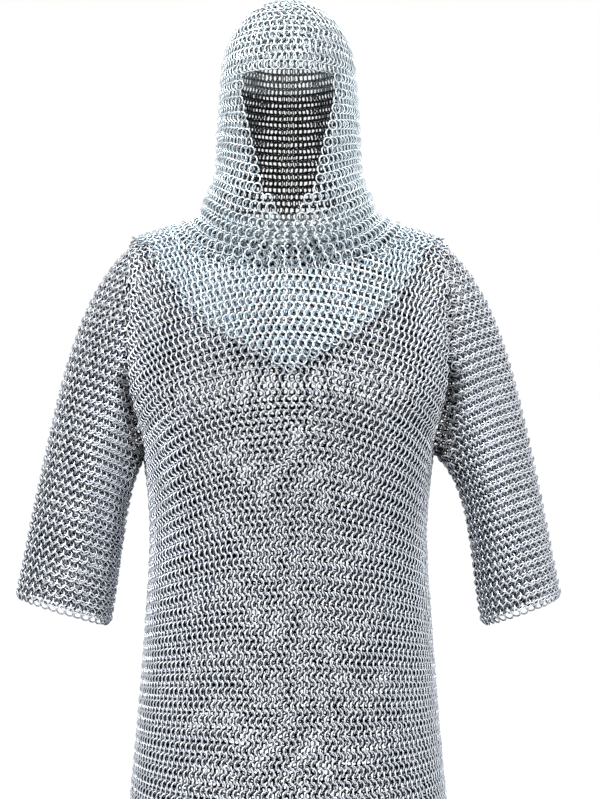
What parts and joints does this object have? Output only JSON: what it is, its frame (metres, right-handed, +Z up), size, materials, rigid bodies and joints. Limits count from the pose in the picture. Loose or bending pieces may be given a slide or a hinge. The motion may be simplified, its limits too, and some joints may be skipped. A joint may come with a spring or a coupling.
{
  "type": "mail haubergeon with coif",
  "caption": "Mail shirt with elbow-length sleeves and a knee-clear hem, worn with a mail hood whose pointed mantle lies over its shoulders.",
  "frame": {"origin": "middle of the wearer's shoulder line, under the hood, where the garment's weight hangs", "axes": "+Z up the wearer's spine, -Y out of the face opening, +X towards the wearer's left arm"},
  "size_m": [0.63, 0.27, 1.114],
  "materials": {
    "shirt_mail": "butted mild-steel links, zinc plated, satin",
    "coif_mail": "butted mild-steel links, zinc plated, satin"
  },
  "bodies": {
    "shirt": {"neck_edge": "shirt_mail", "chest": "shirt_mail", "left_shoulder": "shirt_mail", "upper_back": "shirt_mail", "right_shoulder": "shirt_mail", "front_waist": "shirt_mail", "back_waist": "shirt_mail", "left_waist_side": "shirt_mail", "right_waist_side": "shirt_mail", "front_skirt": "shirt_mail", "back_skirt": "shirt_mail", "left_skirt_side": "shirt_mail", "right_skirt_side": "shirt_mail", "hem_edge": "shirt_mail", "left_gusset": "shirt_mail", "right_gusset": "shirt_mail", "left_shoulder_cap": "shirt_mail", "right_shoulder_cap": "shirt_mail"},
    "left_sleeve": {"left_upper_sleeve": "shirt_mail", "left_lower_sleeve": "shirt_mail", "left_cuff_edge": "shirt_mail"},
    "right_sleeve": {"right_upper_sleeve": "shirt_mail", "right_lower_sleeve": "shirt_mail", "right_cuff_edge": "shirt_mail"},
    "coif_mantle": {"collar": "coif_mail", "mantle_front": "coif_mail", "mantle_left": "coif_mail", "mantle_right": "coif_mail", "mantle_back": "coif_mail", "mantle_edge": "coif_mail", "left_throat": "coif_mail", "right_throat": "coif_mail", "neck_back": "coif_mail", "throat_edge": "coif_mail"},
    "coif_hood": {"crown": "coif_mail", "brow_band": "coif_mail", "left_cheek": "coif_mail", "right_cheek": "coif_mail", "nape": "coif_mail", "face_edge": "coif_mail"}
  },
  "joints": [
    {"name": "left_sleeve_raise", "type": "hinge", "parent": "shirt", "child": "left_sleeve", "pos_m": [0.18, 0, -0.1], "axis": [0, -1, 0], "range_deg": [0, 45], "deforming": ["left_shoulder_cap", "left_gusset"]},
    {"name": "right_sleeve_raise", "type": "hinge", "parent": "shirt", "child": "right_sleeve", "pos_m": [-0.18, 0, -0.1], "axis": [0, 1, 0], "range_deg": [0, 45], "deforming": ["right_shoulder_cap", "right_gusset"]},
    {"name": "coif_lift", "type": "slide", "parent": "shirt", "child": "coif_mantle", "axis": [0, 0, 1], "range_m": [0, 0.4]},
    {"name": "hood_turn", "type": "hinge", "parent": "coif_mantle", "child": "coif_hood", "pos_m": [0, -0.01, 0.05], "axis": [0, 0, 1], "range_deg": [-20, 20], "deforming": ["collar", "left_throat", "right_throat", "neck_back", "throat_edge"]}
  ]
}
